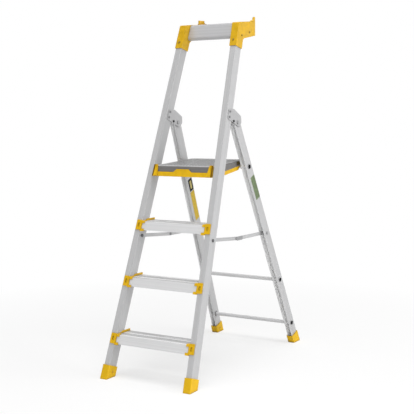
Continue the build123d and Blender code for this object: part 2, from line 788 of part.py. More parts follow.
# Rear legs, round at the top where they turn between the plates, square in front where the stop meets them
leg_top = stop_rise + stop_radius
leg_block = channel_part(LEG, leg_width, leg_depth, 0, leg_length + leg_depth, foot_sole)
with BuildPart() as leg:
    add(leg_block)
    with BuildSketch(LEG.offset(-2 * below_floor)):
        with Locations((0, -leg_wall)):
            Rectangle(leg_width - 2 * leg_wall, leg_depth)
    extrude(amount=leg_length + far, mode=Mode.SUBTRACT)
    with BuildSketch(LEG_SIDE):
        with Locations((0, leg_length)):
            Rectangle(leg_depth + 1, far, align=(Align.CENTER, Align.MAX))
            Circle(leg_depth / 2)
            Rectangle(leg_depth / 2, leg_top, align=(Align.MAX, Align.MIN))
    extrude(amount=far, mode=Mode.INTERSECT)
    rod(0, far, hinge_point, hinge_pin_radius + pin_fit, Mode.SUBTRACT)
    rod(0, far, spread_rear, bolt_radius + seat / 2, Mode.SUBTRACT)
    for drop in bar_centres.values():
        rod(0, far, down_leg(drop), bar_radius + seat / 2, Mode.SUBTRACT)
    screw_hole_x = leg_inner_x(leg_length) + wall_reach
    rod(0, screw_hole_x, rear_foot_screw, foot_screw_radius + seat / 2, Mode.SUBTRACT)
save_pair(leg.part, "rear_leg")

# Cross bars: tubes flared over the outer faces and beaded against the inner faces
flare = 1.5
bead = 4.0
bore_radius = bar_radius - bar_wall
for name, drop in bar_centres.items():
    centre = down_leg(drop)
    inside = leg_inner_x(drop) - bar_room
    outside = leg_outer_x(drop) + bar_room
    with BuildPart() as bar:
        rod(-outside - flare, outside + flare, centre, bar_radius)
        for side in (-1, 1):
            rod(side * outside, side * (outside + flare), centre, bar_radius + bar_flange)
            rod(side * inside, side * (inside - bead), centre, bar_radius + bar_flange)
        rod(-far, far, centre, bore_radius, Mode.SUBTRACT)
    save(bar.part, name)

# Plugs in the open ends of the bars
with BuildPart() as plugs:
    for drop in bar_centres.values():
        end_x = leg_outer_x(drop) + bar_room + flare
        rod(end_x - bar_radius, end_x, down_leg(drop), bore_radius - seat / 2)
        rod(end_x, end_x + plug_thick, down_leg(drop), bar_radius)
save(both_sides(plugs.part), "rear_bar_plugs")


# Spreader pivots: a bolt through the stile and one through the leg, with tube spacers
def spreader_bolt(low, high, centre, head):
    with BuildPart() as bolt:
        rod(low - tilt_room - head, low - tilt_room, centre, bolt_head)
        rod(low - tilt_room - head / 2, high + tilt_room + head / 2, centre, bolt_radius)
        rod(high + tilt_room, high + tilt_room + head, centre, bolt_head)
    return bolt.part


front_bolt = spreader_bolt(inner_x(spreader_along), outer_x(spreader_along), spread_front, 3.5)
save(both_sides(front_bolt), "spreader_front_bolts")
leg_low_x = leg_inner_x(spreader_leg_drop)
leg_high_x = leg_outer_x(spreader_leg_drop)
rear_bolt = spreader_bolt(leg_low_x, leg_high_x, spread_rear, 3.0)
save(both_sides(rear_bolt), "spreader_rear_bolts")


def spacers(low, high, link_low, centre):
    """Tubes on the bolt either side of a link, from wall to link."""
    slack = 0.3
    with BuildPart() as tubes:
        for start, end in ((low, link_low - slack), (link_low + link_thick + slack, high)):
            if end - start > slack:
                rod(start, end, centre, 1.5 * bolt_radius)
        rod(-far, far, centre, bolt_radius + seat / 2, Mode.SUBTRACT)
    return tubes.part


front_low = inner_x(spreader_along) + stile_wall + tilt_room
front_high = outer_x(spreader_along) - stile_wall - tilt_room
save(both_sides(spacers(front_low, front_high, front_link_x, spread_front)), "spreader_front_spacers")
rear_low = leg_low_x + leg_wall + tilt_room
rear_high = leg_high_x - leg_wall - tilt_room
save(both_sides(spacers(rear_low, rear_high, rear_link_x, spread_rear)), "spreader_rear_spacers")


# Spreader links: flat bars, the front one grooved, meeting side by side at the knuckle
def link(start, end, low_x, grooved):
    middle = ((start[0] + end[0]) / 2, (start[1] + end[1]) / 2)
    reach = hypot(end[0] - start[0], end[1] - start[1])
    turn = degrees(atan2(end[1] - start[1], end[0] - start[0]))
    groove = 0.2 * link_thick
    with BuildPart() as bar:
        with BuildSketch(Plane.YZ.offset(low_x)):
            with Locations(Location(middle, turn)):
                SlotCenterToCenter(reach, link_height)
        extrude(amount=link_thick)
        if grooved:
            for face_x in (low_x, low_x + link_thick):
                with BuildSketch(Plane.YZ.offset(face_x - groove)):
                    with Locations(Location(middle, turn)):
                        Rectangle(reach - 4 * link_height, link_height * 0.5)
                extrude(amount=2 * groove, mode=Mode.SUBTRACT)
        rod(0, far, start, bolt_radius + pin_fit, Mode.SUBTRACT)
        rod(0, far, end, bolt_radius + seat / 2, Mode.SUBTRACT)
    return bar.part


save_pair(link(spread_front, knuckle, front_link_x, True), "spreader_front_link")
save_pair(link(spread_rear, knuckle, rear_link_x, False), "spreader_rear_link")

# The knuckle rivet, split where the links slide past each other: one half stays with each link
with BuildPart() as knuckle_inner:
    rod(front_link_x - 3.0, front_link_x, knuckle, 0.4 * link_height)
    rod(front_link_x - 1.0, front_link_x + link_thick, knuckle, bolt_radius)
save_pair(knuckle_inner.part, "knuckle_head")
cap_x = rear_link_x + link_thick
cap_turn = degrees(atan2(spread_rear[1] - knuckle[1], spread_rear[0] - knuckle[0]))
with BuildPart() as knuckle_outer:
    with BuildSketch(Plane.YZ.offset(cap_x)):
        with Locations(Location(knuckle, cap_turn)):
            with Locations((1.2 * link_height, 0)):
                RectangleRounded(3.4 * link_height, 1.1 * link_height, 0.3 * link_height)
    extrude(amount=2.5)
    rod(rear_link_x, cap_x + 1.0, knuckle, bolt_radius)
save_pair(knuckle_outer.part, "knuckle_cap")

# Platform: grey deck on a yellow frame, turning on pins in the stiles, resting on the rear bar
skirt_high = deck_height - band_height
skirt_low = skirt_high - skirt_height
pad_z = rest_bar[1] + bar_radius + 0.4
folded_end = platform_hinge_along + rear_y - platform_pin[0]
folded_room = 0.6          # between the folded platform and the rivets of the hinge plates
platform_half_front = inner_x(along_at(deck_height)) - side_gap
platform_half_rear = inner_x(folded_end) - plate_thick - rivet_head - folded_room


def deck_z(y):
    return deck_height + (y - nose_y) * deck_rise


def platform_half(y):
    share = (y - nose_y) / (rear_y - nose_y)
    return platform_half_front + share * (platform_half_rear - platform_half_front)


def plan(inset, rear_corner):
    """Outline of the platform from above."""
    start_y = nose_y - 2 * skirt_height
    end_y = rear_y - inset
    with BuildSketch(Plane.XY.offset(skirt_low - 2 * skirt_height)) as outline:
        with BuildLine():
            Polyline(
                (-platform_half(start_y) + inset, start_y),
                (platform_half(start_y) - inset, start_y),
                (platform_half(end_y) - inset, end_y),
                (-platform_half(end_y) + inset, end_y),
                close=True,
            )
        make_face()
        fillet(outline.vertices().sort_by(Axis.Y)[-2:], rear_corner)
    return outline.sketch


# Side view: the lower edge of the frame, and the line where deck and frame meet above it
knee_y = nose_y + side_knee
lower_edge = [
    (front_at(skirt_low, skirt_front), skirt_low),
    (knee_y, skirt_low + side_rise),
    (rear_y, deck_z(rear_y) - rear_drop),
]
join_line = [
    (front_at(skirt_high, band_front), skirt_high),
    (knee_y, skirt_low + side_rise + side_band),
    (rear_y, deck_z(rear_y) - rear_drop + side_band),
]
frame_side = [(front_at(skirt_high, skirt_front), skirt_high), *join_line, *reversed(lower_edge)]
deck_side = [
    (nose_y, deck_height),
    (rear_y, deck_z(rear_y)),
    *reversed(join_line),
]
core_low = skirt_low - skirt_height
core_y = front_at(deck_height - deck_thick, band_front + platform_wall)
core_side = [
    (front_at(core_low, band_front + platform_wall), core_low),
    (core_y, deck_z(core_y) - deck_thick),
    (rear_y, deck_z(rear_y) - deck_thick),
    (rear_y, core_low),
]
rear_corner = 24.0
outer_plan = plan(0.0, rear_corner)
inner_plan = plan(platform_wall, rear_corner - platform_wall)
with BuildPart() as core:
    plate(Plane.YZ.offset(-far / 2), core_side, far)
    extrude(inner_plan, amount=far, mode=Mode.INTERSECT)

# Ears and tab on the skirt, pads on the rest bar and bosses round the pins
tab_low = along_at(skirt_high - 4.0)
tab_high = along_at(skirt_high + band_height / 2)
ear_low = along_at(skirt_low + 1.0)
ear_high = along_at(deck_height + 6.0)
ear_gap = 1.0              # beside the stile
ear_foot = 37.0            # width of an ear at its foot
ear_head = 19.0
SKIRT = Plane(
    origin=(0, front_at(0, skirt_front), 0), x_dir=(1, 0, 0), z_dir=(0, -cos(ft), sin(ft))
)
cover = skirt_front - band_front + seat
tab_half = 0.34 * platform_half_front
tab_top_half = 0.2 * platform_half_front
pad_half = 17.0
pad_inset = 41.5           # pads from the sides
pad_x = platform_half_rear - pad_inset
pad_front = 14.0
bar_gap = bar_radius + 0.7
boss_radius = 9.4
boss_length = 10.0
# Way of the rest bar out of the side walls, as the platform tips up off it
notch_drop = rest_bar[1] - core_low
notch = [
    (rest_bar[0] + bar_gap, pad_z),
    (rest_bar[0] + bar_gap, core_low),
    (rest_bar[0] - bar_gap - notch_drop, core_low),
    (rest_bar[0] - bar_gap, rest_bar[1]),
    (rest_bar[0] - bar_gap, pad_z),
]
with BuildPart() as platform_frame:
    plate(Plane.YZ.offset(-far / 2), frame_side, far)
    extrude(outer_plan, amount=far, mode=Mode.INTERSECT)
    add(core.part, mode=Mode.SUBTRACT)
    plate(Plane.YZ.offset(-far / 2), notch, far, Mode.SUBTRACT)
    pad_rear = rear_y - 1.0
    pad_step = join_line[-1][1] - 1.0
    pad_inside = rear_y - platform_wall - seat
    pad = [
        (rest_bar[0] - pad_front, pad_z),
        (rest_bar[0] + bar_gap, pad_z),
        (rest_bar[0] + bar_gap, rest_bar[1] - 5.0),
        (pad_rear, rest_bar[1] - 5.0),
        (pad_rear, pad_step),
        (pad_inside, pad_step),
        (pad_inside, deck_z(pad_inside) - deck_thick),
        (rest_bar[0] - pad_front, deck_z(rest_bar[0] - pad_front) - deck_thick),
    ]
    for x in (-pad_x, pad_x):
        plate(Plane.YZ.offset(x - pad_half), pad, 2 * pad_half)
    tab = [(-tab_half, tab_low), (tab_half, tab_low), (tab_top_half, tab_high), (-tab_top_half, tab_high)]
    plate(SKIRT, tab, cover)
    pin_half = platform_half(platform_pin[0])
    boss_x = pin_half - platform_wall
    for side in (-1, 1):
        foot_x = inner_x(ear_low) - ear_gap
        head_x = inner_x(ear_high) - ear_gap
        ear = [
            (side * (foot_x - ear_foot), ear_low),
            (side * foot_x, ear_low),
            (side * head_x, ear_high),
            (side * (head_x - ear_head), ear_high),
            (side * (head_x - ear_head - 6.0), along_at(skirt_high)),
        ]
        plate(SKIRT, ear, cover)
        ridge = [
            (side * (foot_x - 0.85 * ear_foot), ear_low),
            (side * (foot_x - 0.22 * ear_foot), ear_low),
            (side * (head_x - 0.6 * ear_head), ear_high),
        ]
        plate(SKIRT, ridge, 4.0)
        rod(side * (boss_x + 1.0), side * (boss_x + 1.0 - boss_length), platform_pin, boss_radius)
        rod(0, side * far, platform_pin, platform_pin_radius + pin_fit, Mode.SUBTRACT)
save(platform_frame.part, "platform_frame")

DECK = Plane(origin=(0, nose_y, deck_height), x_dir=(1, 0, 0), z_dir=(0, -deck_rise, 1))
deck_length = (rear_y - nose_y) / cos(radians(deck_slope))
rib_margin = 25.0          # ribs stop this far from the front and rear edges
with BuildPart() as platform_deck:
    plate(Plane.YZ.offset(-far / 2), deck_side, far)
    extrude(outer_plan, amount=far, mode=Mode.INTERSECT)
    add(core.part, mode=Mode.SUBTRACT)
    plate(Plane.YZ.offset(-far / 2), notch, far, Mode.SUBTRACT)
    front_edge = platform_deck.edges().filter_by(Axis.X).sort_by_distance((0, nose_y, deck_height))[0]
    fillet(front_edge, nose_radius)
    with BuildSketch(DECK.offset(-rib_height / 2)):
        for i in range(-rib_count, rib_count + 1):
            with Locations((i * platform_half_rear * 0.92 / rib_count, deck_length / 2)):
                Rectangle(rib_width, deck_length - 2 * rib_margin)
    extrude(amount=1.5 * rib_height)
save(platform_deck.part, "platform_deck")

# Platform pins: head inside the stile, collar between stile and platform, shank in the frame boss
pin_head = 1.6 * platform_pin_radius
pin_wall_x = inner_x(platform_hinge_along) + stile_wall / cos(fl)
with BuildPart() as platform_pins:
    rod(pin_wall_x + tilt_room, pin_wall_x + tilt_room + 3.0, platform_pin, pin_head)
    rod(boss_x + 1.5 - boss_length, pin_wall_x + 2.0, platform_pin, platform_pin_radius)
    rod(pin_half + 0.6, inner_x(platform_hinge_along) - tilt_room, platform_pin, pin_head)
save(both_sides(platform_pins.part), "platform_pins")
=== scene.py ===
"""Looks of the folding platform ladder: finishes with painted light and shade, blank stickers, small dark
pieces and painted shadows, studio and camera.
"""

import json
from math import cos, pi, radians, sin

import bpy
import numpy as np
from mathutils import Matrix, Vector


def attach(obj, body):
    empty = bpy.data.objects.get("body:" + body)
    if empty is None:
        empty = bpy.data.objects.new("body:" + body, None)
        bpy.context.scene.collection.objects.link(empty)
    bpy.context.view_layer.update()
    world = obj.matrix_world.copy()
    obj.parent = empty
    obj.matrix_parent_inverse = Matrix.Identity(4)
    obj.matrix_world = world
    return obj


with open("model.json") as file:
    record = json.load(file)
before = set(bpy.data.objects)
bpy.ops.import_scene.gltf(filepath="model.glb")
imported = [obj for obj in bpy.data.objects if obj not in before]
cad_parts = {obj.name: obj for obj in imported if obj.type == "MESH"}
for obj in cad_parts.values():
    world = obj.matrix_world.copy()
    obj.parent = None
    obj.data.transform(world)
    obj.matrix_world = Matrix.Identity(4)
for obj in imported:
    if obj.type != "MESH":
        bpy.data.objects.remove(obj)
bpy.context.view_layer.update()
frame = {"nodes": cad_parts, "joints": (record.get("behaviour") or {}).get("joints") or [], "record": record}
nodes = frame["nodes"]

# Camera: where the photograph was taken from, in metres and degrees
CAMERA_TARGET = Vector((0.1151, -0.2011, 0.7329))
CAMERA_TURN = 29.966
CAMERA_PITCH = 5.271
CAMERA_DISTANCE = 3.8766
CAMERA_SIGHT = 100.0
LENS_MM = 77.12
SENSOR_MM = 36.0

# Colours, linear
ALUMINIUM = (0.465, 0.465, 0.47)
# Painted light: the inside of the leg channels, painted far paler than the outside for the light reaching in
LIT_INSIDE_ALUMINIUM = (0.95, 0.95, 0.95)
TREAD_ALUMINIUM = (0.64, 0.64, 0.645)
RAIL_ALUMINIUM = (0.465, 0.465, 0.475)
BAR_ALUMINIUM = (0.60, 0.60, 0.605)
YELLOW = (0.68, 0.40, 0.004)
# Painted shade: a darker copy of the yellow plastic for the top corners
CORNER_SHADED_YELLOW = (0.60, 0.352, 0.004)
FOOT_YELLOW = (0.68, 0.41, 0.004)
# Painted light and shade: the deck's top painted paler, its edges darker
DECK_LIT_TOP = (0.385, 0.385, 0.387)
DECK_SHADED_SIDE = (0.145, 0.14, 0.137)
COVER_GREY = (0.27, 0.27, 0.275)
ZINC = (0.44, 0.44, 0.445)
RIVET_GREY = (0.23, 0.23, 0.235)
PIN_GREY = (0.34, 0.34, 0.345)
BOLT_GREY = (0.12, 0.12, 0.125)
CORNER_ZINC = (0.30, 0.20, 0.035)
YELLOW_ZINC = (0.55, 0.33, 0.03)
BLACK = (0.008, 0.008, 0.009)
# Painted shade on the rear corners of the deck
DECK_SHADE_BROWN = (0.10, 0.070, 0.018)
# Painted shade in the recesses beside the ear ridges
EAR_SHADE_YELLOW = (0.16, 0.085, 0.006)
STICKER_YELLOW = (0.52, 0.36, 0.027)
STICKER_CREAM = (0.44, 0.37, 0.13)
STICKER_GREEN = (0.118, 0.162, 0.078)
WHITE = (1, 1, 1, 1)
FLOOR_PAPER = (0.9, 0.9, 0.9, 1)

# Grain of the finishes, per metre
FINE_GRAIN = 900.0
BAND_GRAIN = 160.0
SHADE_LINE_GRAIN = 150.0
SCUFF_GRAIN = 60.0
FLOW_GRAIN = 22.0
CLOUD_GRAIN = 14.0

# Range that most values of a noise texture lie in
NOISE_LOW = 0.3
NOISE_HIGH = 0.7

# How many times longer than wide streaks are
DIE_STRETCH = 250.0
SHADE_LINE_STRETCH = 400.0
SHEEN_STRETCH = 8.0
SCUFF_STRETCH = 5.0

# Reach of the painted shade in the corners, and fine relief, in metres
METAL_SHADE_REACH = 0.006
PLASTIC_SHADE_REACH = 0.012
DECK_SHADE_REACH = 0.008
PLATE_SHADE_REACH = 0.004
DIE_RELIEF = 0.0002
PLASTIC_RELIEF = 0.0002
DECK_RELIEF = 0.0003
PLATE_RELIEF = 0.0001
SOFT_EDGE = 0.0006
PLATE_EDGE = 0.0004

# Aluminium, lengths in metres
METAL_SHARE = 0.30  # of the satin finish, the rest scatters
PROFILE_WALL = 0.0024
INSIDE_SHADE_FROM_TO = (0.84, 0.96)  # heights between which the painted light inside the legs gives way to painted shade
INSIDE_SHADED_SHARE = 0.92  # share of the painted light inside that is left above them
BAND_PITCH = 0.054  # from one painted bright band of a tread to the next
WAVE_PERIOD = pi / 10  # of Blender's wave texture at a scale of 1
SQUARE_LIMIT = 0.1  # largest cosine between a profile's direction and the normals of its long faces

X_AXIS = Vector((1, 0, 0))
Y_AXIS = Vector((0, 1, 0))
Z_AXIS = Vector((0, 0, 1))
SIDES = ((1, "right"), (-1, "left"))


# Material nodes
def new_material(name):
    """Empty node material; returns it with its tree, its shader and the object coordinates."""
    material = bpy.data.materials.new(name)
    material.use_nodes = True
    tree = material.node_tree
    tree.nodes.clear()
    output = tree.nodes.new("ShaderNodeOutputMaterial")
    shader = tree.nodes.new("ShaderNodeBsdfPrincipled")
    tree.links.new(shader.outputs["BSDF"], output.inputs["Surface"])
    place = tree.nodes.new("ShaderNodeTexCoord")
    return material, tree, shader, place.outputs["Object"]


def noise(tree, vector, scale, detail=4.0, roughness=0.55):
    node = tree.nodes.new("ShaderNodeTexNoise")
    node.inputs["Scale"].default_value = scale
    node.inputs["Detail"].default_value = detail
    node.inputs["Roughness"].default_value = roughness
    tree.links.new(vector, node.inputs["Vector"])
    return node.outputs["Fac"]


def turned(tree, vector, axis, stretch):
    """Coordinates with their z along axis, squeezed there so that noise is stretched into streaks."""
    mapping = tree.nodes.new("ShaderNodeMapping")
    mapping.vector_type = "TEXTURE"
    mapping.inputs["Rotation"].default_value = Z_AXIS.rotation_difference(axis).to_euler()
    mapping.inputs["Scale"].default_value = (1.0, 1.0, stretch)
    tree.links.new(vector, mapping.inputs["Vector"])
    return mapping.outputs["Vector"]


def calculated(tree, operation, first, second=None):
    """Result of a math node whose terms are numbers or the outputs of other nodes."""
    node = tree.nodes.new("ShaderNodeMath")
    node.operation = operation
    for socket, term in zip(node.inputs, (first, second)):
        if isinstance(term, bpy.types.NodeSocket):
            tree.links.new(term, socket)
        elif term is not None:
            socket.default_value = term
    return node.outputs[0]


def spread(tree, value, low, high, start=NOISE_LOW, end=NOISE_HIGH):
    """A value brought from the range start to end into the range low to high."""
    node = tree.nodes.new("ShaderNodeMapRange")
    node.inputs["From Min"].default_value = start
    node.inputs["From Max"].default_value = end
    node.inputs["To Min"].default_value = low
    node.inputs["To Max"].default_value = high
    tree.links.new(value, node.inputs["Value"])
    return node.outputs["Result"]


def shaded(tree, value, colour, dark, light):
    """The colour, varied between two brightness factors by a noise value."""
    ramp = tree.nodes.new("ShaderNodeValToRGB")
    first, last = ramp.color_ramp.elements
    first.position = NOISE_LOW
    last.position = NOISE_HIGH
    first.color = (*(c * dark for c in colour), 1)
    last.color = (*(min(c * light, 1.0) for c in colour), 1)
    tree.links.new(value, ramp.inputs["Fac"])
    return ramp.outputs["Color"]


def mixed(tree, factor, first, second):
    node = tree.nodes.new("ShaderNodeMix")
    node.data_type = "RGBA"
    tree.links.new(factor, node.inputs["Factor"])
    tree.links.new(first, node.inputs["A"])
    tree.links.new(second, node.inputs["B"])
    return node.outputs["Result"]


def mixed_shader(tree, factor, first, second):
    node = tree.nodes.new("ShaderNodeMixShader")
    tree.links.new(factor, node.inputs["Fac"])
    tree.links.new(first, node.inputs[1])
    tree.links.new(second, node.inputs[2])
    return node.outputs[0]


def shade_in_corners(tree, colour, reach, depth, closed=0.25, clear=0.9):
    """Painted shade: the colour darkened within reach of a corner, by the factor depth where it is closed in.
    """
    corner = tree.nodes.new("ShaderNodeAmbientOcclusion")
    corner.samples = 6
    corner.inputs["Distance"].default_value = reach
    node = tree.nodes.new("ShaderNodeMix")
    node.data_type = "RGBA"
    node.blend_type = "MULTIPLY"
    node.inputs["Factor"].default_value = 1.0
    tree.links.new(colour, node.inputs["A"])
    tree.links.new(spread(tree, corner.outputs["AO"], depth, 1.0, closed, clear), node.inputs["B"])
    return node.outputs["Result"]


def bump(tree, shader, height, distance, strength, edge=SOFT_EDGE):
    """Fine relief, on edges that are slightly rounded."""
    rounded = tree.nodes.new("ShaderNodeBevel")
    rounded.samples = 4
    rounded.inputs["Radius"].default_value = edge
    node = tree.nodes.new("ShaderNodeBump")
    node.inputs["Distance"].default_value = distance
    node.inputs["Strength"].default_value = strength
    tree.links.new(height, node.inputs["Height"])
    tree.links.new(rounded.outputs["Normal"], node.inputs["Normal"])
    tree.links.new(node.outputs["Normal"], shader.inputs["Normal"])


def lit_inside_mask(tree, place, across, middle, half):
    """Painted light: 1 between two planes half away from the middle, measured across; less high up, painted
    shade.
    """
    along = tree.nodes.new("ShaderNodeVectorMath")
    along.operation = "DOT_PRODUCT"
    along.inputs[1].default_value = across
    tree.links.new(place, along.inputs[0])
    away = calculated(tree, "ABSOLUTE", calculated(tree, "SUBTRACT", along.outputs["Value"], middle))
    height = tree.nodes.new("ShaderNodeSeparateXYZ")
    tree.links.new(place, height.inputs[0])
    shine = spread(tree, height.outputs["Z"], 1.0, INSIDE_SHADED_SHARE, *INSIDE_SHADE_FROM_TO)
    return calculated(tree, "MULTIPLY", calculated(tree, "LESS_THAN", away, half), shine)


def upward_mask(tree):
    """1 on surfaces that face up with the ladder open, 0 on upright ones."""
    facing = tree.nodes.new("ShaderNodeTexCoord")
    upward = tree.nodes.new("ShaderNodeSeparateXYZ")
    tree.links.new(facing.outputs["Normal"], upward.inputs[0])
    return spread(tree, upward.outputs["Z"], low=0.0, high=1.0, start=0.5, end=0.95)


def painted_top_bands(tree, place, axis):
    """Uneven bands along axis: painted sheen, and painted shade of the grooves."""
    wave = tree.nodes.new("ShaderNodeTexWave")
    wave.bands_direction = "Y"
    wave.inputs["Scale"].default_value = WAVE_PERIOD / BAND_PITCH
    wave.inputs["Distortion"].default_value = 1.5
    wave.inputs["Detail"].default_value = 2.0
    tree.links.new(turned(tree, place, axis, 1.0), wave.inputs["Vector"])
    return wave.outputs["Fac"]


# Finishes
def extruded(name, colour, axis, roughness=0.42, corner_shade_depth=0.80, inside=None, painted_top=False):
    """Satin aluminium: die lines along it, tarnish, scuffs, painted corner shade; optionally painted light in
    a hollow and on a top.
    """
    material, tree, shader, place = new_material(name)
    streaks = turned(tree, place, axis, DIE_STRETCH)
    lines = noise(tree, streaks, FINE_GRAIN, detail=3.0)
    bands = noise(tree, streaks, BAND_GRAIN, detail=2.0)
    cloud = noise(tree, place, CLOUD_GRAIN, detail=5.0)
    rubbed = turned(tree, place, axis, SCUFF_STRETCH)
    scuffs = noise(tree, rubbed, SCUFF_GRAIN, detail=6.0, roughness=0.7)
    scuff_share = spread(tree, scuffs, low=0.0, high=0.35, start=0.58, end=0.72)
    clean = shaded(tree, bands, colour, dark=0.93, light=1.05)
    scuffed = shaded(tree, cloud, colour, dark=0.90, light=0.96)
    base = mixed(tree, scuff_share, clean, scuffed)
    shader.inputs["Metallic"].default_value = METAL_SHARE
    # Painted light in the hollow, giving way to painted shade high up
    if inside:
        mask = lit_inside_mask(tree, place, *inside)
        bright = shaded(tree, bands, LIT_INSIDE_ALUMINIUM, dark=0.97, light=1.03)
        base = mixed(tree, mask, base, bright)
        metal = spread(tree, mask, low=METAL_SHARE, high=0.0, start=0.0, end=1.0)
        tree.links.new(metal, shader.inputs["Metallic"])
    # Painted light: tread tops paler, with bands of painted sheen and shade
    if painted_top:
        lit_top = shaded(tree, painted_top_bands(tree, place, axis), colour, dark=0.84, light=1.5)
        base = mixed(tree, upward_mask(tree), base, lit_top)
    tree.links.new(shade_in_corners(tree, base, METAL_SHADE_REACH, corner_shade_depth), shader.inputs["Base Color"])
    tree.links.new(spread(tree, lines, roughness - 0.06, roughness + 0.06), shader.inputs["Roughness"])
    bump(tree, shader, lines, DIE_RELIEF, strength=0.25)
    return material


def moulded(name, colour, roughness=0.42, contrast=0.06, mottle=FLOW_GRAIN, gloss=0.3):
    """Moulded plastic: fine spark-eroded grain, slight flow marks, soft gloss, painted shade in the corners.
    """
    material, tree, shader, place = new_material(name)
    grain = noise(tree, place, FINE_GRAIN, detail=3.0)
    flow = noise(tree, place, mottle)
    base = shaded(tree, flow, colour, 1.0 - contrast, 1.0 + contrast)
    tree.links.new(shade_in_corners(tree, base, PLASTIC_SHADE_REACH, depth=0.40, closed=0.35), shader.inputs["Base Color"])
    tree.links.new(spread(tree, flow, roughness - 0.05, roughness + 0.07), shader.inputs["Roughness"])
    shader.inputs["Specular IOR Level"].default_value = gloss
    bump(tree, shader, grain, PLASTIC_RELIEF, strength=0.35)
    return material


def deck_plastic(name):
    """Grey plastic: a top painted paler, with painted sheen streaked from front to rear, and edges painted
    darker with painted shade lines.
    """
    material, tree, shader, place = new_material(name)
    grain = noise(tree, place, FINE_GRAIN, detail=3.0)
    sheen_coords = turned(tree, place, Y_AXIS, SHEEN_STRETCH)
    streaks = noise(tree, sheen_coords, SCUFF_GRAIN, detail=5.0, roughness=0.65)
    levels = noise(tree, turned(tree, place, X_AXIS, SHADE_LINE_STRETCH), SHADE_LINE_GRAIN, detail=2.0)
    # Painted shade on the edges and painted light on the top, with painted sheen streaks
    edge = shaded(tree, levels, DECK_SHADED_SIDE, dark=0.72, light=1.25)
    top = shaded(tree, streaks, DECK_LIT_TOP, dark=0.82, light=1.2)
    base = mixed(tree, upward_mask(tree), edge, top)
    tree.links.new(shade_in_corners(tree, base, DECK_SHADE_REACH, depth=0.25, closed=0.35), shader.inputs["Base Color"])
    tree.links.new(spread(tree, streaks, 0.36, 0.52), shader.inputs["Roughness"])
    shader.inputs["Specular IOR Level"].default_value = 0.4
    bump(tree, shader, grain, DECK_RELIEF, strength=0.4)
    return material


def plated(name, colour, roughness=0.36, metallic=0.6):
    """Zinc plated steel: mottled spangle, uneven gloss and painted shade in the corners."""
    material, tree, shader, place = new_material(name)
    spangle = noise(tree, place, BAND_GRAIN, detail=5.0)
    base = shaded(tree, spangle, colour, dark=0.90, light=1.08)
    tree.links.new(shade_in_corners(tree, base, PLATE_SHADE_REACH, depth=0.55), shader.inputs["Base Color"])
    tree.links.new(spread(tree, spangle, roughness - 0.08, roughness + 0.10), shader.inputs["Roughness"])
    shader.inputs["Metallic"].default_value = metallic
    bump(tree, shader, spangle, PLATE_RELIEF, strength=0.3, edge=PLATE_EDGE)
    return material


# Directions of the profiles
def points_of(node):
    return np.array([v.co[:] for v in nodes[node].data.vertices])


def main_axis(node):
    """Direction of a profile, to which its long faces are all square, pointing up where it can."""
    faces = nodes[node].data.polygons
    normals = np.array([f.normal[:] for f in faces])
    areas = np.array([f.area for f in faces])
    direction = np.linalg.eigh(normals.T @ (normals * areas[:, None]))[1][:, 0]
    long_faces = abs(normals @ direction) < SQUARE_LIMIT
    normals, areas = normals[long_faces], areas[long_faces]
    direction = Vector(np.linalg.eigh(normals.T @ (normals * areas[:, None]))[1][:, 0])
    return direction if direction.z >= 0 else -direction


def channel_frame(node):
    """Unit vectors of an upright profile: up along it, ahead to the front of the ladder, and out to +X."""
    up = main_axis(node)
    ahead = up.cross(X_AXIS).normalized()
    if ahead.y > 0:
        ahead = -ahead
    out = up.cross(ahead).normalized()
    if out.x < 0:
        out = -out
    return up, ahead, out


def channel_reach(node, out):
    """Least and greatest distance of a profile along out."""
    reach = points_of(node) @ np.array(out)
    return float(reach.min()), float(reach.max())


# Finish of each node
def paint(names, material):
    for name in names:
        slots = nodes[name].data.materials
        slots.clear()
        slots.append(material)


def paint_profiles(names):
    for name in names:
        if "bar" in name:
            paint([name], extruded(f"aluminium_{name}", BAR_ALUMINIUM, X_AXIS))
            continue
        up, _, out = channel_frame(name)
        low, high = channel_reach(name, out)
        # Painted light inside the channel of each leg
        hollow = (out, (high + low) / 2, (high - low - PROFILE_WALL) / 2) if "leg" in name else None
        paint([name], extruded(f"aluminium_{name}", ALUMINIUM, up, corner_shade_depth=0.92, inside=hollow))


slot_nodes = {}
for row in frame["record"]["subparts"]:
    slot_nodes.setdefault(row["material_slot"], []).append(row["node"])
corner_nodes = [name for name in slot_nodes["yellow"] if "corner" in name]
knuckle_nodes = [name for name in slot_nodes["black"] if "knuckle" in name]
foot_screws = [name for name in slot_nodes["screw"] if "foot" in name]

paint_profiles(slot_nodes["profile"])
# Treads: tops painted paler, with bands of painted sheen and groove shade
paint(slot_nodes["tread"], extruded("aluminium_tread", TREAD_ALUMINIUM, X_AXIS, corner_shade_depth=0.65, painted_top=True))
paint(slot_nodes["rail"], extruded("aluminium_rail", RAIL_ALUMINIUM, X_AXIS))
for name in slot_nodes["link"]:
    paint([name], extruded(f"aluminium_{name}", ALUMINIUM, main_axis(name)))
paint(slot_nodes["yellow"], moulded("yellow_plastic", YELLOW, contrast=0.12, mottle=40.0))
